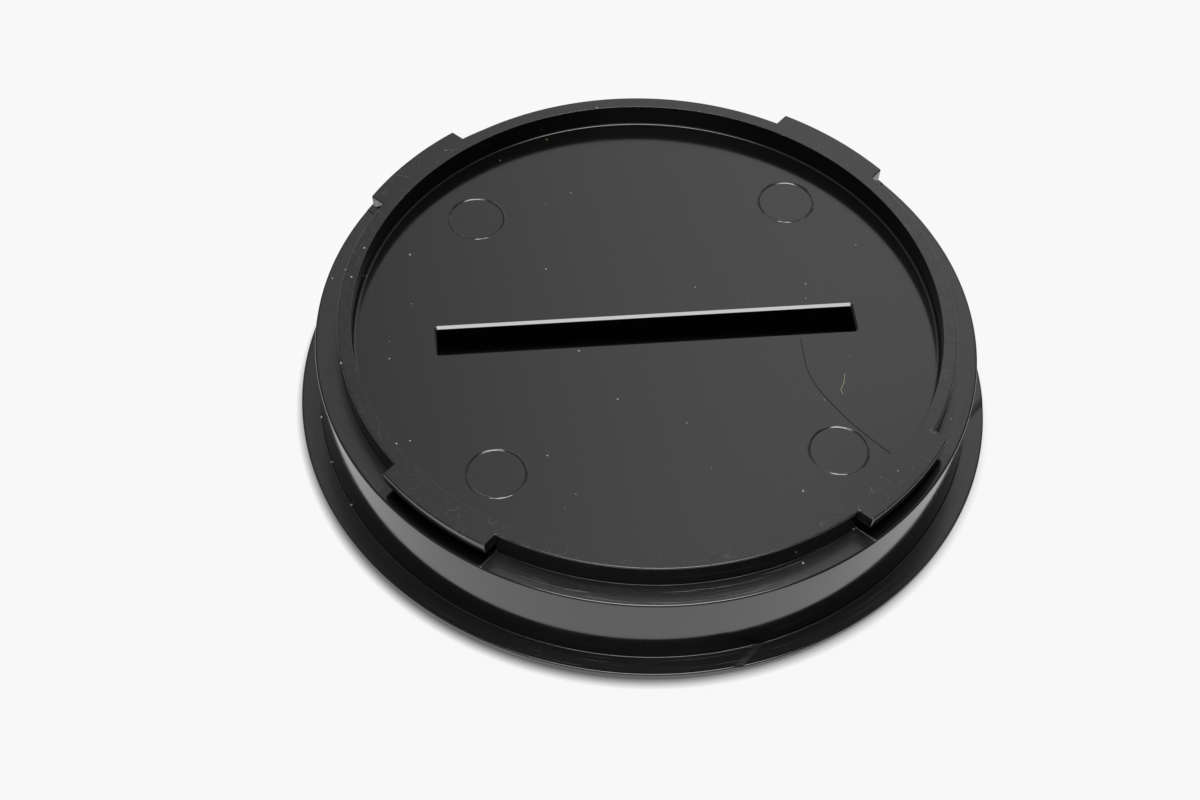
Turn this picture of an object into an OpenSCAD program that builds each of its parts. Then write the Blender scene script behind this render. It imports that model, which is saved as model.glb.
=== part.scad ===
// Body cap for a camera with a four-tab bayonet mount.
// One moulding, lying on its outer face: flange, collar, lipped rim, bayonet tabs and a hollow finger grip.
// The origin is on the axis, in the plane of the outer face. X runs along the grip, and +Z points into the camera.

/* [Flange] */
// Outer diameter of the flange
flange_d = 70; // [69.5:0.5:80]
// Thickness of the flange
flange_t = 1.5; // [1:0.1:2.5]
// Rounding of the flange's outer corners
flange_round_r = 0.25; // [0.1:0.05:0.45]
// Height of the raised land on one side of the flange's inner face
land_h = 0.25; // [0.1:0.05:0.6]
// Distance of the land's straight edge from the axis
land_offset = 28; // [24:0.5:31]
// Direction of the land, in degrees from the grip
land_angle = -45; // [-180:5:180]

/* [Collar and web] */
// Outer diameter of the collar
collar_d = 66.4; // [63:0.2:68.4]
// Height of the ledge on top of the collar
ledge_h = 10; // [7:0.1:16]
// Thickness of the collar's wall
collar_t = 1.8; // [1.2:0.1:2.5]
// Thickness of the web under the ledge
web_t = 1.8; // [1.2:0.1:2.5]
// Fillet in the corner between the collar and the web, on the outer side
dish_fillet_r = 0.8; // [0.2:0.1:1.5]
// Rounding of the mouth of the dished outer side
dish_mouth_r = 0.4; // [0.1:0.1:0.8]
// Fillet at the foot of the collar, on the flange
foot_fillet_r = 0.2; // [0.05:0.05:0.3]

/* [Rim] */
// Outer diameter of the rim
rim_d = 61.8; // [57:0.2:62.4]
// Thickness of the rim's wall
rim_t = 1.4; // [1:0.1:2]
// Height of the rim above the ledge
rim_h = 2.6; // [2:0.1:4]
// Rounding of the rim's inner top corner
rim_round_r = 0.15; // [0.05:0.05:0.4]
// Height of the floor inside the rim above the ledge
floor_rise = 0.1; // [-0.3:0.05:0.6]
// Fillet between the floor and the rim
floor_fillet_r = 0.4; // [0.1:0.05:0.8]

/* [Bayonet tabs] */
// Number of bayonet tabs
tab_count = 4; // [3:1:4]
// Direction of the first tab, in degrees from the grip
tab_angle = 45; // [30:5:60]
// Width of a tab between its parallel ends
tab_w = 12.6; // [6:0.1:20]
// Reach of a tab beyond the rim
tab_reach = 1.5; // [1:0.1:2.2]
// Thickness of a tab
tab_t = 1.4; // [0.8:0.1:1.7]
// Depth of the relief in the ledge below a tab
relief_depth = 0.1; // [0.05:0.05:0.4]

/* [Finger grip] */
// Length of the slot inside the hollow grip
slot_l = 42.3; // [20:0.1:48]
// Width of the slot
slot_w = 3.7; // [2:0.1:6]
// Radius of the slot's corners, seen from above
slot_corner_r = 0.5; // [0.2:0.1:0.9]
// Rounding of the slot's mouth
slot_mouth_r = 0.4; // [0.1:0.05:0.6]
// Thickness of the grip's walls round the slot
grip_t = 1.6; // [1:0.1:2.5]
// Distance of the grip's face behind the outer face
grip_inset = 0.4; // [0.2:0.1:2]
// Rounding of the grip's outer corners
grip_round_r = 0.6; // [0.2:0.1:1]

/* [Ejector marks] */
// Diameter of an ejector mark in the floor
mark_d = 5.8; // [4:0.1:8]
// Distance of an ejector mark from the rim
mark_margin = 3.2; // [1:0.1:6]
// Depth of an ejector mark
mark_depth = 0.05; // [0.02:0.01:0.2]

/* [Hidden] */
$fn = 180;
over = 0.5;
flange_r = flange_d / 2;
collar_r = collar_d / 2;
dish_r = collar_r - collar_t;
rim_r = rim_d / 2;
rim_inner_r = rim_r - rim_t;
tab_r = rim_r + tab_reach;
rim_top = ledge_h + rim_h;
floor_h = ledge_h + floor_rise;
web_h = ledge_h - web_t;
grip_l = slot_l + 2 * grip_t;
grip_w = slot_w + 2 * grip_t;
grip_corner_r = slot_corner_r + grip_t;
mark_offset = rim_inner_r - mark_margin - mark_d / 2;
tab_directions = [for (i = [0:tab_count - 1]) tab_angle + i * 360 / tab_count];

// What an arc of radius r leaves of a square corner at the origin, where the corner points to (sx, sy)
module corner(r, sx, sy) {
    difference() {
        translate([sx * (over - r) / 2, sy * (over - r) / 2])
            square(r + over, center = true);
        translate([-sx * r, -sy * r])
            circle(r = r);
    }
}

// Half section of a flange ring of thickness t, with rounded corners and the fillet to the collar
module flange_section(t) {
    difference() {
        translate([dish_r, 0])
            square([flange_r - dish_r, t]);
        translate([flange_r, 0])
            corner(flange_round_r, 1, -1);
        translate([flange_r, t])
            corner(flange_round_r, 1, 1);
        translate([dish_r, 0])
            corner(dish_mouth_r, -1, -1);
    }
    translate([collar_r, t])
        corner(foot_fillet_r, -1, -1);
}

// Half section of the collar and the web, from the flange up to the floor inside the rim
module collar_section() {
    difference() {
        square([collar_r, ledge_h]);
        translate([-over, -over])
            square([dish_r + over, web_h + over]);
        translate([dish_r, 0])
            corner(dish_mouth_r, -1, -1);
    }
    intersection() {
        square([dish_r + over, web_h + over]);
        translate([dish_r, web_h])
            corner(dish_fillet_r, 1, 1);
    }
    translate([0, web_h])
        square([rim_inner_r + rim_t / 2, floor_h - web_h]);
}

// Half section of the rim, with its fillet to the floor
module rim_section() {
    difference() {
        translate([rim_inner_r, web_h])
            square([rim_t, rim_top - web_h]);
        translate([rim_inner_r, rim_top])
            corner(rim_round_r, -1, 1);
    }
    intersection() {
        translate([0, web_h])
            square([rim_r, rim_top - web_h]);
        translate([rim_inner_r, floor_h])
            corner(floor_fillet_r, 1, -1);
    }
}

// Collar and web, with the shallow relief below each tab
module collar() {
    difference() {
        rotate_extrude()
            collar_section();
        for (a = tab_directions)
            rotate([0, 0, a])
                tab_relief();
    }
}

// Rim that stands on the web
module rim() {
    rotate_extrude()
        rim_section();
}

// Flange ring round the foot of the collar
module flange() {
    rotate_extrude()
        flange_section(flange_t);
}

// Raised land on one side of the flange, ending along a straight line
module flange_land() {
    rotate([0, 0, land_angle])
        intersection() {
            difference() {
                rotate_extrude()
                    flange_section(flange_t + land_h);
                translate([0, 0, -over])
                    cylinder(r = collar_r - collar_t / 2, h = flange_t + land_h + 2 * over);
            }
            translate([land_offset, -flange_r, 0])
                cube([flange_r, flange_d, flange_t + land_h + foot_fillet_r]);
        }
}

// A straight strip as wide as a tab, from the axis outwards
module tab_strip(z, h) {
    translate([0, -tab_w / 2, z])
        cube([flange_r + over, tab_w, h]);
}

// One bayonet tab, flush with the rim's top, with parallel ends and an outer face concentric with the rim
module bayonet_tab() {
    intersection() {
        tab_strip(rim_top - tab_t, tab_t);
        translate([0, 0, ledge_h])
            difference() {
                cylinder(r = tab_r, h = rim_h + over);
                translate([0, 0, -over])
                    cylinder(r = rim_r - rim_t / 2, h = rim_h + 3 * over);
            }
    }
}

// Shallow relief in the ledge below one tab; it starts inside the rim's wall
module tab_relief() {
    difference() {
        tab_strip(ledge_h - relief_depth, relief_depth + over);
        translate([0, 0, ledge_h - relief_depth - over])
            cylinder(r = rim_r - rim_t / 2, h = relief_depth + 3 * over);
    }
}

// A section swept round a rectangle of length l and width w with corners of radius c.
// Its three children are the section's halves at w / 2, at l / 2 and at c, mirrored to be whole.
module rounded_bar(l, w, c) {
    rotate([90, 0, 90])
        linear_extrude(l - 2 * c, center = true)
            children(0);
    rotate([90, 0, 0])
        linear_extrude(w - 2 * c, center = true)
            children(1);
    for (x = [-1, 1], y = [-1, 1])
        translate([x * (l / 2 - c), y * (w / 2 - c), 0])
            rotate_extrude()
                intersection() {
                    children(2);
                    translate([0, -over])
                        square([l, rim_top + 2 * over]);
                }
}

// Section of the grip's outside, a either side of its middle
module grip_section(a) {
    difference() {
        translate([-a, grip_inset])
            square([2 * a, web_h + web_t / 2 - grip_inset]);
        for (s = [-1, 1])
            translate([s * a, grip_inset])
                corner(grip_round_r, s, -1);
    }
}

// Section of the slot with its rounded mouth, a either side of its middle
module slot_section(a) {
    translate([-a, grip_inset + grip_t])
        square([2 * a, floor_h + over / 2 - grip_inset - grip_t]);
    for (s = [-1, 1])
        translate([s * a, floor_h])
            corner(slot_mouth_r, -s, 1);
}

// Outside of the finger grip
module grip() {
    rounded_bar(grip_l, grip_w, grip_corner_r) {
        grip_section(grip_w / 2);
        grip_section(grip_l / 2);
        grip_section(grip_corner_r);
    }
}

// Slot that hollows the finger grip from the inner side
module slot() {
    rounded_bar(slot_l, slot_w, slot_corner_r) {
        slot_section(slot_w / 2);
        slot_section(slot_l / 2);
        slot_section(slot_corner_r);
    }
}

// Shallow round mark of an ejector pin
module ejector_mark() {
    translate([mark_offset, 0, floor_h - mark_depth])
        cylinder(d = mark_d, h = mark_depth + over);
}

module body_cap() {
    color([0.08, 0.08, 0.09])
        difference() {
            union() {
                flange();
                flange_land();
                collar();
                rim();
                grip();
                for (a = tab_directions)
                    rotate([0, 0, a])
                        bayonet_tab();
            }
            slot();
            for (a = tab_directions)
                rotate([0, 0, a])
                    ejector_mark();
        }
}

body_cap();
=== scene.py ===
import math

import bmesh
import bpy
from mathutils import Matrix, Vector
from mathutils.geometry import delaunay_2d_cdt


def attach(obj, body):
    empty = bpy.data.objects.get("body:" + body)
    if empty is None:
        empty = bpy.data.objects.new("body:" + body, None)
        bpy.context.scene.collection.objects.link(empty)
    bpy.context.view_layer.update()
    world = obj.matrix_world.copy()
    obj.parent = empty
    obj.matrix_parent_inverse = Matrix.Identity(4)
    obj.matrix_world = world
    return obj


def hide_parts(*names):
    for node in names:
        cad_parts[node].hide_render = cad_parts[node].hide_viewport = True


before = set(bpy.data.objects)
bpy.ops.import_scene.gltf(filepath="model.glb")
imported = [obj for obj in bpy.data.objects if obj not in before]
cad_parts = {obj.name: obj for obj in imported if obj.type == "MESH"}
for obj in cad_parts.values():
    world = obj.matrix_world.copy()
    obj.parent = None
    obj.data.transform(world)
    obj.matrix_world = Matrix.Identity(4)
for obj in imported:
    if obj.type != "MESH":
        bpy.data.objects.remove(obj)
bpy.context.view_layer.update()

# One millimetre, in metres
MM = 0.001
# Sizes of the moulding, in millimetres
FLANGE_R = 35.3
FLANGE_T = 1.4
FLANGE_ROUND = 0.95
# Shallow recess on one side of the flange: its depth, the distance of its straight end from the axis,
# and its direction in degrees from the grip
RECESS = 0.12
RECESS_OFFSET = 28.6
RECESS_ANGLE = -45.0
COLLAR_R = 33.28
LEDGE_H = 10.0
DISH_R = 31.4
DISH_MOUTH = 0.4
DISH_FILLET = 0.8
WEB_H = 8.2
RIM_R = 30.9
RIM_INNER_R = 29.5
RIM_TOP = 12.6
RIM_ROUND = 0.05
FLOOR_H = 10.1
FLOOR_FILLET = 0.25
TAB_ANGLES = (-45.0, 45.0, 135.0, 225.0)
TAB_HALF_W = 6.3
TAB_R = 32.45
TAB_T = 1.45
TAB_TAPER = 0.12
# Height of the pad in the ledge below each tab
PAD_H = 0.05
SLOT_L = 42.3
SLOT_W = 3.7
SLOT_CORNER = 0.3
SLOT_FOOT = 0.3
# What the slot is wider on each side than its named width
SLOT_SPARE = 0.05
# Bevel of the slot's mouth: its width on the far side, at the ends and on the near side, and its depth
BEVEL_FAR, BEVEL_END, BEVEL_NEAR = 0.42, 0.22, 0.12
BEVEL_DROP = 0.13
GRIP_WALL = 1.6
GRIP_INSET = 0.4
GRIP_ROUND = 0.6
GRIP_FILLET = 0.5
# Corner radius of the grip's hollow, from which its outside is a wall's thickness away
GRIP_HOLLOW_CORNER = 0.5
MARK_R = 2.9
BURR_H = 0.04
MARK_CENTRES = ((16.69, 16.43), (-16.15, 16.42), (-16.28, -17.0), (16.82, -16.77))
# Small roundings of the corners
ARRIS = 0.11
STEP_ARRIS = 0.1
FOOT = 0.1
RIM_FOOT = 0.05
LEDGE_ARRIS = 0.18
FLANGE_ARRIS = 0.13
# Distance of a support edge from a rounding, and the step between plain columns in degrees
SUPPORT = 0.06
COLUMN_STEP = 0.6
# Points of the finished mesh closer than this are one point, and so are those of a flat fill
MERGE = 0.0001
FILL_MERGE = 1e-7


class Shell:
    """A mesh in the making, built from closed loops of points."""

    def __init__(self):
        self.points = []
        self.faces = []

    def loop(self, points):
        start = len(self.points)
        self.points.extend(points)
        return list(range(start, len(self.points)))

    def bridge(self, a, b):
        n = len(a)
        for i in range(n):
            j = (i + 1) % n
            self.faces.append((a[i], a[j], b[j], b[i]))

    def skin(self, loops):
        for a, b in zip(loops, loops[1:]):
            self.bridge(a, b)

    def fill(self, outer, holes=()):
        """Triangles over a flat region inside the loop outer and outside the loops in holes."""
        ids = list(outer)
        edges = []
        for ring in (outer, *holes):
            if ring is not outer:
                ids.extend(ring)
            start = len(ids) - len(ring)
            edges.extend((start + i, start + (i + 1) % len(ring)) for i in range(len(ring)))
        flat = [Vector(self.points[i][:2]) for i in ids]
        _, _, triangles, origin, _, _ = delaunay_2d_cdt(flat, edges, [], 0, FILL_MERGE)
        rings = [[flat[ids.index(i)] for i in ring] for ring in holes]
        border = [Vector(self.points[i][:2]) for i in outer]
        for t in triangles:
            where = [origin[v][0] for v in t]
            middle = sum((flat[i] for i in where), Vector((0, 0))) / len(where)
            if inside(middle, border) and not any(inside(middle, ring) for ring in rings):
                self.faces.append(tuple(ids[i] for i in where))

    def piece(self, name):
        mesh = bpy.data.meshes.new(name)
        mesh.from_pydata([[c * MM for c in p] for p in self.points], [], self.faces)
        mesh.validate()
        mesh.update()
        obj = bpy.data.objects.new(name, mesh)
        bpy.context.scene.collection.objects.link(obj)
        return obj


def inside(point, ring):
    """Whether a flat point lies inside a closed ring of flat points."""
    hit = False
    a = ring[-1]
    for b in ring:
        if (a.y > point.y) != (b.y > point.y):
            if point.x < a.x + (point.y - a.y) * (b.x - a.x) / (b.y - a.y):
                hit = not hit
        a = b
    return hit


def arc(x, z, r, start, end, n):
    """n + 1 points on an arc round (x, z), from one angle to another in degrees."""
    turns = [math.radians(start + (end - start) * i / n) for i in range(n + 1)]
    return [(x + r * math.cos(t), z + r * math.sin(t)) for t in turns]


class Column:
    """One column of the turned shell: its direction at each radius, and what it carries there."""

    def __init__(self, direction, inset=None, pad=0.0, recess=0.0):
        self.direction = direction
        self.inset = inset
        self.pad = pad
        self.recess = recess


def beside_tab(angle, side, p):
    """Direction of a line parallel to a tab's middle, p millimetres to its side."""
    return lambda r: angle + side * math.degrees(math.asin(p / r))


def recess_edge(side, q):
    """Direction of a line across the recess's middle, q millimetres from the axis."""
    return lambda r: RECESS_ANGLE + side * math.degrees(math.acos(q / max(r, COLLAR_R)))


def tab_end(angle, side):
    """Columns through one end of a tab, from outside the tab to its middle part."""
    w = TAB_HALF_W
    # distance outside the tab's end, and share of the pad's height there
    riser = ((0.6, 0.0), (0.2, 0.0), (0.14, 0.0), (0.11, 0.12), (0.06, 0.5), (0.02, 0.88), (0.0, 1.0))
    out = [Column(beside_tab(angle, side, w + p), pad=f) for p, f in riser]
    for t in (90, 60, 30, 0):
        turn = math.radians(t)
        p = w - ARRIS * (1 - math.sin(turn))
        out.append(Column(beside_tab(angle, side, p), inset=ARRIS * (1 - math.cos(turn)), pad=1.0))
    out.append(Column(beside_tab(angle, side, w - ARRIS - SUPPORT), inset=0.0, pad=1.0))
    return out


def recess_end(side):
    """Columns through one end of the recess, from outside it to its floor."""
    # distance beyond the recess's end, and share of its depth there
    slope = ((-0.9, 0.0), (-0.7, 0.0), (-0.62, 0.05), (-0.3, 0.3), (-0.06, 0.95), (0.0, 1.0),
             (0.12, 1.0))
    return [Column(recess_edge(side, RECESS_OFFSET + q), recess=f) for q, f in slope]


def between(a, b, span):
    """Plain columns spread evenly between two columns that lie span degrees apart."""
    n = max(1, round(span / COLUMN_STEP))
    plain = []
    for i in range(1, n):
        t = i / n
        direction = lambda r, t=t, a=a, b=b: a.direction(r) * (1 - t) + b.direction(r) * t
        inset = a.inset if a.inset == b.inset else None
        plain.append(Column(direction, inset, min(a.pad, b.pad), min(a.recess, b.recess)))
    return plain


def all_columns():
    """Columns round the whole shell, in rising direction from the first tab's near end."""
    groups = []
    for angle in TAB_ANGLES:
        groups.append(tab_end(angle, -1))
        groups.append(tab_end(angle, 1)[::-1])
        if angle == TAB_ANGLES[0]:
            groups.append(recess_end(1)[::-1])
    late = recess_end(-1)
    for c in late:
        c.direction = (lambda r, d=c.direction: d(r) + 360.0)
    groups.append(late)
    first = groups[0][0]
    closing = Column(lambda r: first.direction(r) + 360.0, None, first.pad, 1.0)
    # the first tab lies beside the recess, and so does all up to the recess's far end
    for g in groups[:2]:
        for c in g:
            c.recess = 1.0
    columns = []
    for g, h in zip(groups, groups[1:] + [[closing]]):
        columns.extend(g)
        span = h[0].direction(COLLAR_R) - g[-1].direction(COLLAR_R)
        columns.extend(between(g[-1], h[0], span))
    return columns


COLUMNS = all_columns()


def turned(shell, r, z):
    """A loop whose radius and height are numbers, or functions of the column."""
    points = []
    for c in COLUMNS:
        radius = r(c) if callable(r) else r
        height = z(c) if callable(z) else z
        turn = math.radians(c.direction(radius))
        points.append((radius * math.cos(turn), radius * math.sin(turn), height))
    return shell.loop(points)


def tab_profile(inset):
    """Outline of a tab from the rim's top round to the rim's wall below it, as (radius, height)."""
    bottom = RIM_TOP - TAB_T
    r = ARRIS - inset
    high = (TAB_R - ARRIS, RIM_TOP - ARRIS)
    low = (TAB_R - TAB_TAPER - ARRIS, bottom + ARRIS)
    top = RIM_TOP - inset
    # the flat top: just outside the rim, a little further out, and where the arris starts
    out = [(RIM_R + 0.05, top), (RIM_R + 0.6, top), (high[0] - SUPPORT, top)]
    out += arc(*high, r, 90, 0, 4)
    out += [(high[0] + r, high[1] - SUPPORT), (low[0] + r, low[1] + SUPPORT)]
    out += arc(*low, r, 0, -90, 4)
    out += [(low[0] - SUPPORT, bottom + inset), (RIM_R + ARRIS + SUPPORT, bottom + inset)]
    out += [(RIM_R + ARRIS, bottom + inset), (RIM_R + ARRIS / 4, bottom + inset - ARRIS / 4)]
    out.append((RIM_R, bottom - ARRIS))
    return out


def rim_edge(shell):
    """Loops over the rim's outer arris, which ends where a tab's top runs on from the rim's."""
    loops = []
    steps = 4
    for k, (r, z) in enumerate(arc(RIM_R - STEP_ARRIS, RIM_TOP - STEP_ARRIS, STEP_ARRIS, 90, 0, steps)):
        height = lambda c, z=z, k=k: z if c.inset is None else RIM_TOP - c.inset * k / steps
        loops.append(turned(shell, r, height))
    return loops


def tab_rings(shell):
    """Loops over the tabs; between the tabs they lie on the rim's plain wall."""
    shapes = {c.inset: tab_profile(c.inset) for c in COLUMNS if c.inset is not None}
    count = len(shapes[0.0])
    high = RIM_TOP - STEP_ARRIS
    low = RIM_TOP - TAB_T - ARRIS
    loops = []
    for i in range(count):
        plain = (RIM_R, high + (low - high) * (i + 1) / count)
        points = []
        for c in COLUMNS:
            radius, height = plain if c.inset is None else shapes[c.inset][i]
            turn = math.radians(c.direction(radius))
            points.append((radius * math.cos(turn), radius * math.sin(turn), height))
        loops.append(shell.loop(points))
    return loops


def shell_rings(shell):
    """Every loop of the turned shell, from the floor inside the rim to the web under it."""
    def ledge(drop=0.0):
        return lambda c: LEDGE_H + PAD_H * c.pad - drop

    def flange(drop=0.0):
        return lambda c: FLANGE_T - RECESS * c.recess - drop

    rings = [turned(shell, RIM_INNER_R - FLOOR_FILLET - SUPPORT, FLOOR_H)]
    plain = arc(RIM_INNER_R - FLOOR_FILLET, FLOOR_H + FLOOR_FILLET, FLOOR_FILLET, -90, 0, 6)
    plain.append((RIM_INNER_R, FLOOR_H + FLOOR_FILLET + SUPPORT))
    plain.append((RIM_INNER_R, RIM_TOP - RIM_ROUND - SUPPORT))
    plain += arc(RIM_INNER_R + RIM_ROUND, RIM_TOP - RIM_ROUND, RIM_ROUND, 180, 90, 5)
    plain += [(RIM_INNER_R + RIM_ROUND + SUPPORT, RIM_TOP), (RIM_R - STEP_ARRIS - SUPPORT, RIM_TOP)]
    rings += [turned(shell, r, z) for r, z in plain]
    rings += rim_edge(shell)
    rings += tab_rings(shell)
    # foot of the rim, ledge and its outer arris
    rings.append(turned(shell, RIM_R, LEDGE_H + PAD_H + RIM_FOOT + SUPPORT))
    for x, z in arc(RIM_R + RIM_FOOT, RIM_FOOT, RIM_FOOT, 180, 270, 4):
        rings.append(turned(shell, x, ledge(-z)))
    rings.append(turned(shell, RIM_R + RIM_FOOT + SUPPORT, ledge()))
    rings.append(turned(shell, (RIM_R + COLLAR_R) / 2, ledge()))
    rings.append(turned(shell, COLLAR_R - LEDGE_ARRIS - SUPPORT, ledge()))
    for x, z in arc(COLLAR_R - LEDGE_ARRIS, -LEDGE_ARRIS, LEDGE_ARRIS, 90, 0, 6):
        rings.append(turned(shell, x, ledge(-z)))
    rings.append(turned(shell, COLLAR_R, ledge(LEDGE_ARRIS + SUPPORT)))
    # collar wall
    rings.append(turned(shell, COLLAR_R, LEDGE_H - LEDGE_ARRIS - 2 * SUPPORT))
    rings.append(turned(shell, COLLAR_R, (LEDGE_H + FLANGE_T) / 2))
    rings.append(turned(shell, COLLAR_R, FLANGE_T + FOOT + 2 * SUPPORT))
    # flange
    rings.append(turned(shell, COLLAR_R, flange(-FOOT - SUPPORT)))
    for x, z in arc(COLLAR_R + FOOT, FOOT, FOOT, 180, 270, 4):
        rings.append(turned(shell, x, flange(-z)))
    rings.append(turned(shell, COLLAR_R + FOOT + SUPPORT, flange()))
    rings.append(turned(shell, FLANGE_R - FLANGE_ARRIS - SUPPORT, flange()))
    for x, z in arc(FLANGE_R - FLANGE_ARRIS, -FLANGE_ARRIS, FLANGE_ARRIS, 90, 0, 5):
        rings.append(turned(shell, x, flange(-z)))
    rings.append(turned(shell, FLANGE_R, flange(FLANGE_ARRIS + SUPPORT)))
    rings.append(turned(shell, FLANGE_R, FLANGE_ROUND + SUPPORT))
    for x, z in arc(FLANGE_R - FLANGE_ROUND, FLANGE_ROUND, FLANGE_ROUND, 0, -90, 6):
        rings.append(turned(shell, x, z))
    # outer face, dish and web
    under = [(FLANGE_R - FLANGE_ROUND - SUPPORT, 0.0), (DISH_R + DISH_MOUTH + SUPPORT, 0.0)]
    under += arc(DISH_R + DISH_MOUTH, DISH_MOUTH, DISH_MOUTH, 270, 180, 6)
    under += [(DISH_R, z) for z in (DISH_MOUTH + SUPPORT, WEB_H / 2, WEB_H - DISH_FILLET - SUPPORT)]
    under += arc(DISH_R - DISH_FILLET, WEB_H - DISH_FILLET, DISH_FILLET, 0, 90, 8)
    under += [(DISH_R - DISH_FILLET - SUPPORT, WEB_H)]
    rings += [turned(shell, r, z) for r, z in under]
    shell.skin(rings)
    return rings[0], rings[-1]


def rounded_loop(shell, sides, corner, z):
    """A rounded rectangle between sides (left, right, near, far)."""
    left, right, near, far = sides
    points = []
    for x, y, start in ((right, far, 0), (left, far, 90), (left, near, 180), (right, near, 270)):
        cx = x + (corner if x == left else -corner)
        cy = y + (corner if y == near else -corner)
        points += [(*p, z) for p in arc(cx, cy, corner, start, start + 90, 6)]
    return shell.loop(points)


def grown(sides, by):
    left, right, near, far = sides
    return left - by, right + by, near - by, far + by


def slot_rings(shell):
    """The slot from its bevelled mouth in the floor down to its bottom."""
    half_l = SLOT_L / 2
    half_w = SLOT_W / 2 + SLOT_SPARE
    walls = (-half_l, half_l, -half_w, half_w - BEVEL_FAR)
    # distance out from the walls and height above the floor, in widths and depths of the bevel
    bevel = ((1.3, 0.0), (1.1, 0.0), (1.0, -0.01), (0.9, -0.1), (0.1, -0.9), (0.03, -1.0), (0.0, -1.3))
    left, right, near, far = walls
    rings = []
    for out, down in bevel:
        ends = out * BEVEL_END
        sides = (left - ends, right + ends, near - out * BEVEL_NEAR, far + out * BEVEL_FAR)
        corner = SLOT_CORNER + out * BEVEL_NEAR
        rings.append(rounded_loop(shell, sides, corner, FLOOR_H + down * BEVEL_DROP))
    low = GRIP_INSET + GRIP_WALL
    rings.append(rounded_loop(shell, walls, SLOT_CORNER, FLOOR_H - 2.0 * BEVEL_DROP))
    rings.append(rounded_loop(shell, walls, SLOT_CORNER, low + SLOT_FOOT + SUPPORT))
    for x, z in arc(-SLOT_FOOT, SLOT_FOOT, SLOT_FOOT, 0, -90, 4):
        rings.append(rounded_loop(shell, grown(walls, x), SLOT_CORNER + x / 2, low + z))
    rings.append(rounded_loop(shell, grown(walls, -SLOT_FOOT - SUPPORT), SLOT_CORNER / 2, low))
    shell.skin(rings)
    shell.fill(rings[-1])
    return rings[0]


def grip_rings(shell):
    """The outside of the finger grip, from the web to its face."""
    half_l = SLOT_L / 2 + GRIP_WALL
    half_w = SLOT_W / 2 + GRIP_WALL
    walls = (-half_l, half_l, -half_w, half_w)
    corner = GRIP_HOLLOW_CORNER + GRIP_WALL
    shape = [(GRIP_FILLET + SUPPORT, WEB_H)]
    shape += [(x, WEB_H + z) for x, z in arc(GRIP_FILLET, -GRIP_FILLET, GRIP_FILLET, 90, 180, 6)]
    shape += [(0.0, WEB_H - GRIP_FILLET - SUPPORT), (0.0, GRIP_INSET + GRIP_ROUND + SUPPORT)]
    shape += [(x, GRIP_INSET + z) for x, z in arc(-GRIP_ROUND, GRIP_ROUND, GRIP_ROUND, 0, -90, 6)]
    shape += [(-GRIP_ROUND - SUPPORT, GRIP_INSET)]
    rings = [rounded_loop(shell, grown(walls, x), corner + x, z) for x, z in shape]
    shell.skin(rings)
    shell.fill(rings[-1])
    return rings[0]


def mark_rings(shell, x, y):
    """One ejector mark: an uneven low burr round a disc that sits a little deep."""
    # distance from the mark's radius, with the burr's share of height, then with the disc's height
    burr = ((0.16, 0.0), (0.1, 0.0), (0.07, 0.4), (0.02, 1.0), (-0.02, 1.0), (-0.06, 0.0))
    sunk = ((-0.12, -0.035), (-0.16, -0.04), (-0.24, -0.04))
    rings = []
    turns = [math.radians(a) for a in range(0, 360, 3)]
    # the burr's height varies round the mark, on each mark in its own way
    uneven = [0.5 + 0.3 * math.sin(5 * t + x) + 0.2 * math.sin(17 * t + y) for t in turns]
    for r, z in burr:
        rings.append(shell.loop([(x + (MARK_R + r) * math.cos(t), y + (MARK_R + r) * math.sin(t),
                                  FLOOR_H + z * BURR_H * u) for t, u in zip(turns, uneven)]))
    for r, z in sunk:
        rings.append(shell.loop([(x + (MARK_R + r) * math.cos(t), y + (MARK_R + r) * math.sin(t),
                                  FLOOR_H + z) for t in turns]))
    shell.skin(rings)
    shell.fill(rings[-1])
    return rings[0]


def moulding():
    """The whole cap as one closed shell."""
    shell = Shell()
    floor_edge, web_edge = shell_rings(shell)
    slot_edge = slot_rings(shell)
    marks = [mark_rings(shell, x, y) for x, y in MARK_CENTRES]
    shell.fill(floor_edge, [slot_edge, *marks])
    shell.fill(web_edge, [grip_rings(shell)])
    return shell.piece("cap_moulding")


def finish_mesh(obj):
    """Merged seams, outward normals and smooth faces; the support loops keep flat faces flat."""
    work = bmesh.new()
    work.from_mesh(obj.data)
    bmesh.ops.remove_doubles(work, verts=work.verts, dist=MERGE * MM)
    bmesh.ops.recalc_face_normals(work, faces=work.faces)
    for f in work.faces:
        f.smooth = True
    work.to_mesh(obj.data)
    work.free()


cap = moulding()
finish_mesh(cap)
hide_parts("body_cap")
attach(cap, "root")


# Materials
PLASTIC = (0.005, 0.005, 0.0055, 1)
# Paler colour of the flange's outer edge: partly its wear, partly a painted reflection of the bright
# table; scratches and turning marks take some of it
PALE_WEAR_AND_SHEEN = (0.085, 0.083, 0.08, 1)
PLASTIC_IOR = 1.8
# Roughness of the moulding, the collar's wall, the turned ledge, the flange and its worn edge with
# painted sheen
GLOSS = 0.14
WALL_GLOSS = 0.1
LEDGE_GLOSS = 0.24
FLANGE_GLOSS = 0.19
EDGE_GLOSS = 0.3
# Depth of the turning marks on the ledge and on the flange, in millimetres
LEDGE_MARKS = 0.0075
FLANGE_MARKS = 0.0035
# Depth of the moulding's faint lumps, in millimetres, and spread of its roughness
LUMP_DEPTH = 0.004
GLOSS_SPREAD = 0.01
# Roughness and depth of the scuffs on the rim's and the tabs' top
SCUFF_GLOSS = 0.26
SCUFF_DEPTH = 0.004
# Share of the paler colour of the flange's worn edge, with its painted sheen, in the thin scratches
# there
SCRATCH_SHARE = 0.9
# Most of that colour's share in the turning marks
MARKS_SHARE = 0.3
# Width over which a zone of the surface fades out, in millimetres
ZONE_SOFT = 0.03
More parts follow.
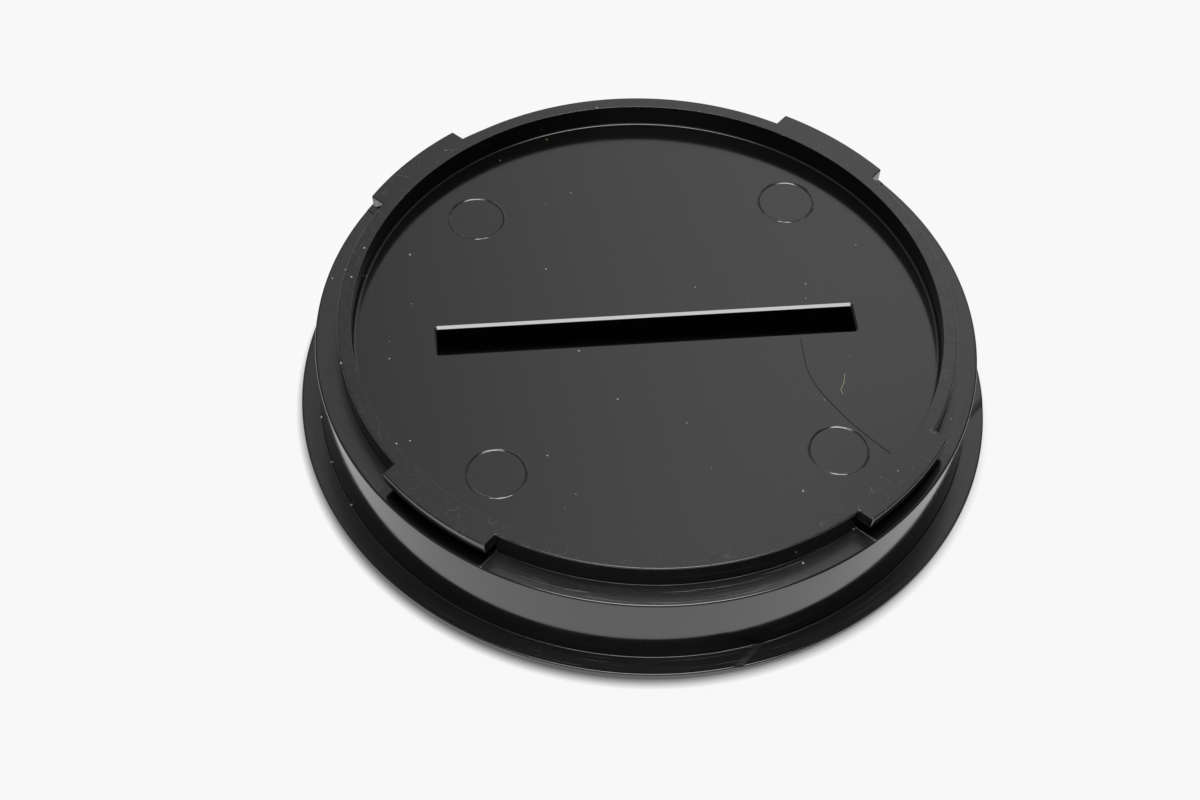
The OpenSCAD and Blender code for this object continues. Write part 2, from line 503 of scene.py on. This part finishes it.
# Turning marks, fine ones and plain lines: noise cells to the millimetre outwards, and cells round
# the axis in one radian
FINE_MARKS = (14.0, 5.0)
LINE_MARKS = (7.0, 2.5)
# Share of the plain lines in the marks
LINE_SHARE = 0.7
# Noise values between which these set in: fine marks, plain lines, rubbed places, a scratch's parts
# and mottled gloss
FINE_RANGE = (0.35, 0.7)
LINE_RANGE = (0.6, 0.68)
RUBBED_RANGE = (0.5, 0.66)
BREAK_RANGE = (0.5, 0.6)
MOTTLE_RANGE = (0.3, 0.7)
# Noise cells to the millimetre: lumps, mottled gloss, rubbed places, a scratch's swirl and its breaks
LUMP_CELLS = 0.12
MOTTLE_CELLS = 0.35
RUBBED_CELLS = 1.4
SWIRL_CELLS = 0.45
BREAK_CELLS = 0.8
# A scratch follows the line where its noise has this value; its width is in steps of that noise
SWIRL_LINE = 0.5
SWIRL_WIDTH = 0.003
SWIRL_SOFT = 0.006
# Shift from one set of scratches to the next, in millimetres
SCRATCH_SHIFTS = (0.0, 37.0)


class Nodes:
    """Short calls for building a node tree."""

    def __init__(self, tree):
        self.tree = tree

    def add(self, kind, *inputs, **settings):
        node = self.tree.nodes.new("ShaderNode" + kind)
        for name, value in settings.items():
            setattr(node, name, value)
        for i, value in enumerate(inputs):
            self.put(node.inputs[i], value)
        return node

    def put(self, socket, value):
        if isinstance(value, bpy.types.Node):
            value = value.outputs[0]
        if isinstance(value, bpy.types.NodeSocket):
            self.tree.links.new(value, socket)
        elif value is not None:
            socket.default_value = value

    def math(self, operation, *values):
        return self.add("Math", *values, operation=operation)

    def vector(self, operation, *values):
        return self.add("VectorMath", *values, operation=operation)

    def ramp(self, value, low, high, start=0.0, end=1.0, smooth=True):
        kind = "SMOOTHSTEP" if smooth else "LINEAR"
        return self.add("MapRange", value, low, high, start, end, interpolation_type=kind)

    def band(self, value, low, high, soft):
        """1 between low and high, falling to 0 over soft on either side."""
        rising = self.ramp(value, low - soft, low)
        return self.math("MULTIPLY", rising, self.ramp(value, high, high + soft, 1.0, 0.0))

    def noise(self, place, scale, detail=2.0, roughness=0.5):
        node = self.add("TexNoise", place)
        node.inputs["Scale"].default_value = scale
        node.inputs["Detail"].default_value = detail
        node.inputs["Roughness"].default_value = roughness
        return node


def new_material(name):
    mat = bpy.data.materials.new(name)
    mat.use_nodes = True
    return mat, Nodes(mat.node_tree), mat.node_tree.nodes["Principled BSDF"]


def surface_zones(n, place):
    """Masks of the collar's wall, the ledge between the tabs, the flange, its edge and the rim's top.

    The radius and the place on the flat, from which they are made, come last.
    """
    parts = n.add("SeparateXYZ", place)
    x, y, height = (parts.outputs[c] for c in "XYZ")
    flat = n.add("CombineXYZ", x, y, 0.0)
    radius = n.vector("LENGTH", flat).outputs["Value"]
    # distance from the nearer of the two lines through opposite tabs
    one = n.math("ABSOLUTE", n.math("MULTIPLY", n.math("ADD", x, y), math.sqrt(0.5)))
    other = n.math("ABSOLUTE", n.math("MULTIPLY", n.math("SUBTRACT", x, y), math.sqrt(0.5)))
    aside = n.math("MINIMUM", one, other)

    def zone(inner, outer, low, high):
        ring = n.band(radius, inner, outer, ZONE_SOFT)
        return n.math("MULTIPLY", ring, n.band(height, low, high, ZONE_SOFT))

    # each zone reaches a little past the faces that it marks, and stops short of the next one's
    wall = zone(COLLAR_R - LEDGE_ARRIS, COLLAR_R + 0.05, FLANGE_T + 0.2, LEDGE_H + 0.1)
    ledge = zone(RIM_R + 0.05, COLLAR_R - LEDGE_ARRIS - 0.03, LEDGE_H - 0.04, LEDGE_H + 0.02)
    between_tabs = n.math("MULTIPLY", ledge, n.ramp(aside, TAB_HALF_W + 0.08, TAB_HALF_W + 0.14))
    flange = zone(COLLAR_R + 0.1, FLANGE_R - 0.25, FLANGE_T - RECESS - 0.04, FLANGE_T + 0.02)
    # the flange's outer edge, rougher and painted paler: partly wear, partly a painted reflection of the
    # table
    edge = zone(FLANGE_R - 0.8, FLANGE_R + 0.1, -0.1, FLANGE_T - RECESS - FLANGE_ARRIS - 0.04)
    top = n.ramp(height, RIM_TOP - 0.06, RIM_TOP - 0.03)
    return wall, between_tabs, flange, edge, top, radius, flat


def round_streaks(n, radius, flat, across, along):
    """Noise drawn out along circles round the axis, with cells by the millimetre and by the radian."""
    heading = n.vector("SCALE", n.vector("NORMALIZE", flat))
    heading.inputs["Scale"].default_value = along
    lifted = n.vector("ADD", heading, n.add("CombineXYZ", 0.0, 0.0, n.math("MULTIPLY", radius, across)))
    return n.noise(lifted, 1.0)


def scratch_lines(n, place):
    """Thin curved lines in a few directions, each broken up where a coarser noise is low."""
    lines = []
    for shift in SCRATCH_SHIFTS:
        moved = n.vector("ADD", place, (shift, -shift, shift))
        swirl = n.noise(moved, SWIRL_CELLS, detail=0.0)
        broken = n.noise(moved, BREAK_CELLS)
        line = n.band(swirl, SWIRL_LINE, SWIRL_LINE + SWIRL_WIDTH, SWIRL_SOFT)
        lines.append(n.math("MULTIPLY", line, n.ramp(broken, *BREAK_RANGE)))
    return n.math("MAXIMUM", *lines)


def plastic():
    """Glossy black plastic, with turning marks on ledge and flange, a worn flange edge painted paler as
    a reflection of the table, and a scuffed rim.
    """
    mat, n, shader = new_material("black_plastic")
    place = n.vector("SCALE", n.add("TexCoord").outputs["Object"])
    place.inputs["Scale"].default_value = 1 / MM
    wall, ledge, flange, edge, top, radius, flat = surface_zones(n, place)
    fine = n.ramp(round_streaks(n, radius, flat, *FINE_MARKS), *FINE_RANGE)
    lines = n.ramp(round_streaks(n, radius, flat, *LINE_MARKS), *LINE_RANGE)
    fine = n.math("MULTIPLY", fine, 1 - LINE_SHARE)
    marks = n.math("ADD", fine, n.math("MULTIPLY", lines, LINE_SHARE))
    on_ledge = n.math("MULTIPLY", ledge, LEDGE_MARKS)
    depth = n.math("ADD", on_ledge, n.math("MULTIPLY", flange, FLANGE_MARKS))
    lumps = n.noise(place, LUMP_CELLS)
    rubbed = n.noise(place, RUBBED_CELLS, detail=5.0, roughness=0.7)
    scuffs = n.math("MULTIPLY", top, n.ramp(rubbed, *RUBBED_RANGE))
    scratches = n.math("MULTIPLY", top, scratch_lines(n, place))
    height = n.math("ADD", n.math("MULTIPLY", marks, depth), n.math("MULTIPLY", lumps, LUMP_DEPTH))
    height = n.math("ADD", height, n.math("MULTIPLY", scuffs, SCUFF_DEPTH))
    bump = n.add("Bump")
    bump.inputs["Strength"].default_value = 1.0
    bump.inputs["Distance"].default_value = MM
    n.put(bump.inputs["Height"], height)
    n.put(shader.inputs["Normal"], bump.outputs["Normal"])
    mottle = n.noise(place, MOTTLE_CELLS, detail=4.0)
    rough = n.ramp(mottle, *MOTTLE_RANGE, GLOSS - GLOSS_SPREAD, GLOSS + GLOSS_SPREAD)
    levels = ((wall, WALL_GLOSS), (ledge, LEDGE_GLOSS), (flange, FLANGE_GLOSS), (edge, EDGE_GLOSS))
    for mask, level in levels:
        rough = n.math("ADD", rough, n.math("MULTIPLY", mask, level - GLOSS))
    rough = n.math("ADD", rough, n.math("MULTIPLY", scuffs, SCUFF_GLOSS - GLOSS))
    n.put(shader.inputs["Roughness"], rough)
    tint = n.add("Mix", data_type="RGBA")
    # paler colour: on the flange's edge partly wear and partly a painted reflection of the table, then
    # the scratches and the turning marks
    wear_and_sheen = n.math("MAXIMUM", edge, n.math("MULTIPLY", scratches, SCRATCH_SHARE))
    streaked = n.ramp(marks, 0.0, 1.0, MARKS_SHARE / 3, MARKS_SHARE, smooth=False)
    wear_and_sheen = n.math("MAXIMUM", wear_and_sheen, n.math("MULTIPLY", n.math("MAXIMUM", flange, ledge), streaked))
    n.put(tint.inputs[0], wear_and_sheen)
    tint.inputs[6].default_value = PLASTIC
    tint.inputs[7].default_value = PALE_WEAR_AND_SHEEN
    n.put(shader.inputs["Base Color"], tint.outputs[2])
    shader.inputs["IOR"].default_value = PLASTIC_IOR
    return mat


cap.data.materials.append(plastic())

# Camera, as fitted to the rings in the photograph
PHOTO_W, PHOTO_H = 1200, 800
CAM_FOCAL = 2116.0
CAM_DISTANCE = 221.3
CAM_DIRECTION = -99.1
CAM_ELEVATION = 51.05
CAM_ROLL = 3.66
ORIGIN_X, ORIGIN_Y = 642.7, 391.1


def camera():
    data = bpy.data.cameras.new("camera")
    data.sensor_width = 36.0
    data.lens = CAM_FOCAL * data.sensor_width / PHOTO_W
    data.clip_start, data.clip_end = 0.01, 10
    obj = bpy.data.objects.new("camera", data)
    bpy.context.scene.collection.objects.link(obj)
    a, e = math.radians(CAM_DIRECTION), math.radians(CAM_ELEVATION)
    back = Vector((math.cos(a) * math.cos(e), math.sin(a) * math.cos(e), math.sin(e)))
    right = Vector((-math.sin(a), math.cos(a), 0))
    level = Matrix((right, back.cross(right), back)).transposed()
    seen = Vector(((ORIGIN_X - PHOTO_W / 2) / CAM_FOCAL, -(ORIGIN_Y - PHOTO_H / 2) / CAM_FOCAL, -1))
    aim = Vector((0, 0, -1)).rotation_difference(seen).to_matrix()
    turn = level @ Matrix.Rotation(math.radians(CAM_ROLL), 3, "Z") @ aim.inverted()
    obj.matrix_world = Matrix.Translation(back * CAM_DISTANCE * MM) @ turn.to_4x4()
    bpy.context.scene.camera = obj


camera()


# Dust and fibres, where the photograph shows them. Places in it are pixels, on a face at a known height.
TOP_DUST = ((345.6, 270.0), (351.4, 277.0), (364.4, 248.0), (445.4, 150.6), (451.9, 150.6),
            (880.8, 477.0), (898.0, 471.0), (596.8, 107.8), (340.9, 363.1), (332.3, 278.5))
FLOOR_DUST = ((565.0, 508.5), (618.0, 546.0), (575.7, 494.4), (547.4, 455.6), (396.3, 443.8),
              (410.0, 440.8), (475.0, 511.0), (520.0, 173.6), (546.0, 204.0), (570.7, 193.0),
              (410.0, 254.5), (546.0, 269.0), (411.4, 304.0), (371.0, 291.8), (389.3, 341.7),
              (389.3, 358.8), (803.0, 491.0), (769.0, 541.0), (695.1, 287.3), (746.6, 299.6),
              (805.5, 298.2), (805.5, 283.9), (578.9, 350.9), (617.7, 399.4), (686.6, 423.1),
              (711.3, 467.3), (849.1, 356.6), (855.6, 245.1))
FLOOR_GRIT = ((500.0, 160.5), (547.0, 139.6), (366.5, 276.0), (355.0, 346.0), (357.0, 356.5),
              (359.3, 352.0), (816.3, 395.2), (824.9, 400.0))
LEDGE_DUST = ((954.5, 364.5), (953.3, 375.0), (949.5, 394.4), (946.0, 402.0), (943.4, 411.0),
              (951.0, 419.0), (853.6, 529.0), (803.0, 563.0), (321.5, 417.0))
FLANGE_DUST = ((910.0, 551.0), (962.0, 447.0), (958.7, 456.0), (331.3, 462.2), (351.0, 505.0),
               (369.6, 529.5))
FLANGE_GRIT = ((927.0, 527.0),)
FIBRE = ((800.8, 338.3), (803.8, 354.3), (807.8, 370.2), (816.8, 386.3), (830.8, 402.3),
         (849.8, 421.2), (871.8, 439.2), (890.8, 453.3))
SHORT_FIBRE = ((844.8, 373.8), (843.9, 383.0), (841.0, 389.8), (843.4, 395.6))
LEDGE_HAIR = ((530.6, 576.7), (549.4, 584.3), (550.6, 589.3), (545.6, 590.5))
# Mean radius of a speck and how far it varies, its height, how deep it sits in, and how its top narrows
DUST_R = 0.09
DUST_SPREAD = 0.5
DUST_H = 0.04
DUST_SUNK = 0.01
DUST_TOP = 0.7
# Radius of the threads
FIBRE_R = 0.027
SHORT_FIBRE_R = 0.045


def seen_at(pixel, height):
    """Where a pixel of the photograph meets the level at a height, in millimetres."""
    eye = bpy.context.scene.camera.matrix_world
    ray = Vector((pixel[0] - PHOTO_W / 2, PHOTO_H / 2 - pixel[1], -CAM_FOCAL))
    ray = eye.to_3x3() @ ray
    start = eye.translation / MM
    point = start + ray * ((height - start.z) / ray.z)
    return point.x, point.y, height


def simple_material(name, color, rough=0.6):
    mat, n, shader = new_material(name)
    shader.inputs["Base Color"].default_value = (*color, 1)
    shader.inputs["Roughness"].default_value = rough
    return mat


def hexagon(x, y, z, r):
    """Six points on a level circle."""
    return [(x + r * math.cos(t), y + r * math.sin(t), z) for t in HEXAGON]


def dust(name, places, mat):
    """Small flat specks at (pixel, height), joined in one piece."""
    shell = Shell()
    for k, (pixel, height) in enumerate(places):
        x, y, z = seen_at(pixel, height)
        # 7.3 radians on from speck to speck, so that the sizes look mixed
        r = DUST_R * (1.0 + DUST_SPREAD * math.sin(7.3 * k))
        low = shell.loop(hexagon(x, y, z - DUST_SUNK, r))
        high = shell.loop(hexagon(x, y, z + DUST_H, DUST_TOP * r))
        shell.bridge(low, high)
        shell.faces.append(tuple(high))
        shell.faces.append(tuple(reversed(low)))
    obj = shell.piece(name)
    finish_mesh(obj)
    obj.data.materials.append(mat)
    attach(obj, "root")


def thread(name, points, radius, mat):
    """A thin thread through points in millimetres, with a six-sided section."""
    shell = Shell()
    rings = []
    for i, p in enumerate(points):
        ahead = Vector(points[min(i + 1, len(points) - 1)]) - Vector(points[max(i - 1, 0)])
        side = ahead.cross(Vector((0, 0, 1))).normalized()
        up = side.cross(ahead).normalized()
        spokes = [side * math.cos(t) + up * math.sin(t) for t in HEXAGON]
        rings.append(shell.loop([tuple(Vector(p) + radius * spoke) for spoke in spokes]))
    shell.skin(rings)
    shell.faces.append(tuple(reversed(rings[0])))
    shell.faces.append(tuple(rings[-1]))
    obj = shell.piece(name)
    finish_mesh(obj)
    obj.data.materials.append(mat)
    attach(obj, "root")


def curve_through(points, steps=5):
    """A smooth curve through points, by Catmull and Rom's formula."""
    knots = [Vector(p) for p in (points[0], *points, points[-1])]
    out = []
    for a, b, c, d in zip(knots, knots[1:], knots[2:], knots[3:]):
        for i in range(steps):
            t = i / steps
            out.append(0.5 * (2 * b + (c - a) * t + (2 * a - 5 * b + 4 * c - d) * t ** 2
                              + (3 * b - a - 3 * c + d) * t ** 3))
    out.append(knots[-1])
    return [tuple(p) for p in out]


HEXAGON = [math.radians(60 * i) for i in range(6)]
WHITE_DUST = simple_material("white_dust", (0.65, 0.65, 0.66))
YELLOW_GRIT = simple_material("yellow_grit", (0.35, 0.27, 0.13))
DARK_FIBRE = simple_material("dark_fibre", (0.004, 0.004, 0.004))
PALE_FIBRE = simple_material("pale_fibre", (0.5, 0.44, 0.31))
GREY_HAIR = simple_material("grey_hair", (0.12, 0.11, 0.1))
white = [(p, z) for group, z in ((TOP_DUST, RIM_TOP), (FLOOR_DUST, FLOOR_H), (LEDGE_DUST, LEDGE_H),
                                 (FLANGE_DUST, FLANGE_T)) for p in group]
dust("dust_specks", white, WHITE_DUST)
grit = [(p, FLOOR_H) for p in FLOOR_GRIT] + [(p, FLANGE_T) for p in FLANGE_GRIT]
dust("grit_specks", grit, YELLOW_GRIT)
long = curve_through([seen_at(p, FLOOR_H + FIBRE_R) for p in FIBRE])
thread("floor_fibre", long, FIBRE_R, DARK_FIBRE)
short = curve_through([seen_at(p, FLOOR_H + SHORT_FIBRE_R) for p in SHORT_FIBRE])
thread("short_fibre", short, SHORT_FIBRE_R, PALE_FIBRE)
hair = curve_through([seen_at(p, LEDGE_H + FIBRE_R) for p in LEDGE_HAIR])
thread("ledge_hair", hair, FIBRE_R, GREY_HAIR)


# Stage and light.
# Half the table's width in metres, and the gap under the cap in millimetres
TABLE_HALF = 3.0
TABLE_GAP = 0.03
# Colour of the table as light meets it, then its glow and its colour as the camera sees it
TABLE_WHITE = 0.9
TABLE_GLOW = 0.88
TABLE_SHARE = 0.1
# Reach of the shadow at the cap's edge in millimetres, its strength on its light and its dark side,
# and the direction of the dark side
CONTACT = 1.0
SHADE_LIGHT, SHADE_DARK = 0.05, 1.5
DARK_SIDE = -140.0
# Soft box overhead: its direction, half its width in degrees, and its strength
KEY_DIRECTION = (0.06, 0.03, 1.0)
KEY_HALF_ANGLE = 14.0
KEY_STRENGTH = 6.6
# Strength of the room: behind the cap from left to right, and in front of it from low to high
BEHIND_LEFT, BEHIND_RIGHT = 0.31, 0.8
FRONT_LOW, FRONT_HIGH = 0.1, 0.35
# Share of it that is left at the far left, at the far right, and high up on the right
FAR_LEFT, FAR_RIGHT = 0.4, 0.3
HIGH_RIGHT = 0.5
# Strength of the background that the camera sees
BACKGROUND = 0.95
# Where those strengths change over, as shares of a direction's length along x, y or z
BEHIND_X = (-0.16, 0.2)
FRONT_TO_BEHIND_Y = (-0.25, 0.4)
FRONT_Z = (0.05, 0.75)
FAR_LEFT_X = (-0.7, -0.2)
FAR_RIGHT_X = (0.3, 0.6)
HIGH_RIGHT_X = (0.16, 0.24)
HIGH_RIGHT_Y = (0.59, 0.55)
# Half the width of the soft box's fading edge, as a cosine
KEY_SOFT = 0.006


def table():
    """White table top, whose seen and mirrored shadows are soft and close, as in the photograph."""
    half, z = TABLE_HALF, -TABLE_GAP * MM
    mesh = bpy.data.meshes.new("table")
    corners = [(-half, -half, z), (half, -half, z), (half, half, z), (-half, half, z)]
    mesh.from_pydata(corners, [], [(0, 1, 2, 3)])
    obj = bpy.data.objects.new("table", mesh)
    bpy.context.scene.collection.objects.link(obj)
    mat, n, shader = new_material("table")
    shader.inputs["Base Color"].default_value = (TABLE_WHITE, TABLE_WHITE, TABLE_WHITE, 1)
    shader.inputs["Roughness"].default_value = 0.8
    shader.inputs["Specular IOR Level"].default_value = 0.0
    close = n.add("AmbientOcclusion")
    close.samples = 8
    turn = math.radians(DARK_SIDE)
    place = n.add("TexCoord").outputs["Object"]
    toward = n.vector("DOT_PRODUCT", place, (math.cos(turn), math.sin(turn), 0.0)).outputs["Value"]
    r = FLANGE_R * MM
    shade = n.ramp(toward, -r, r, SHADE_LIGHT, SHADE_DARK, smooth=False)
    close.inputs["Distance"].default_value = CONTACT * MM
    glow = n.add("Emission")
    open_share = n.math("POWER", close.outputs["AO"], shade)
    n.put(glow.inputs["Strength"], n.math("MULTIPLY", open_share, TABLE_GLOW))
    matt = n.add("BsdfDiffuse", (TABLE_SHARE, TABLE_SHARE, TABLE_SHARE, 1))
    seen = n.add("AddShader", matt, glow)
    path = n.add("LightPath")
    looked_at = n.math("MAXIMUM", path.outputs["Is Camera Ray"], path.outputs["Is Glossy Ray"])
    both = n.add("MixShader", looked_at, shader, seen)
    n.put(n.tree.nodes["Material Output"].inputs["Surface"], both)
    mesh.materials.append(mat)


def studio():
    """Light from a soft box overhead and a room, bright behind the cap and dim behind the camera."""
    world = bpy.data.worlds.new("studio")
    bpy.context.scene.world = world
    world.use_nodes = True
    n = Nodes(world.node_tree)
    way = n.add("TexCoord").outputs["Generated"]
    parts = n.add("SeparateXYZ", way)
    x, y, z = (parts.outputs[c] for c in "XYZ")
    behind = n.ramp(x, *BEHIND_X, BEHIND_LEFT, BEHIND_RIGHT)
    depth = n.ramp(y, *FRONT_TO_BEHIND_Y)
    front = n.ramp(z, *FRONT_Z, FRONT_LOW, FRONT_HIGH)
    room = n.add("Mix", data_type="FLOAT")
    n.put(room.inputs[0], depth)
    n.put(room.inputs[2], front)
    n.put(room.inputs[3], behind)
    right = n.ramp(x, *FAR_RIGHT_X, 1.0, FAR_RIGHT)
    sides = n.math("MULTIPLY", right, n.ramp(x, *FAR_LEFT_X, FAR_LEFT, 1.0))
    high_right = n.math("MULTIPLY", n.ramp(x, *HIGH_RIGHT_X), n.ramp(y, *HIGH_RIGHT_Y))
    sides = n.math("MULTIPLY", sides, n.ramp(high_right, 0.0, 1.0, 1.0, HIGH_RIGHT, smooth=False))
    aim = Vector(KEY_DIRECTION).normalized()
    toward = n.vector("DOT_PRODUCT", way, tuple(aim)).outputs["Value"]
    edge = math.cos(math.radians(KEY_HALF_ANGLE))
    box = n.math("MULTIPLY", n.ramp(toward, edge - KEY_SOFT, edge + KEY_SOFT), KEY_STRENGTH)
    light = n.math("ADD", n.math("MULTIPLY", room.outputs[0], sides), box)
    path = n.add("LightPath")
    white = n.add("Mix", data_type="FLOAT")
    n.put(white.inputs[0], path.outputs["Is Camera Ray"])
    n.put(white.inputs[2], light)
    white.inputs[3].default_value = BACKGROUND
    n.put(n.tree.nodes["Background"].inputs["Strength"], white.outputs[0])
    n.tree.nodes["Background"].inputs["Color"].default_value = (1, 1, 1, 1)


table()
studio()
bpy.context.scene.view_settings.view_transform = "Standard"
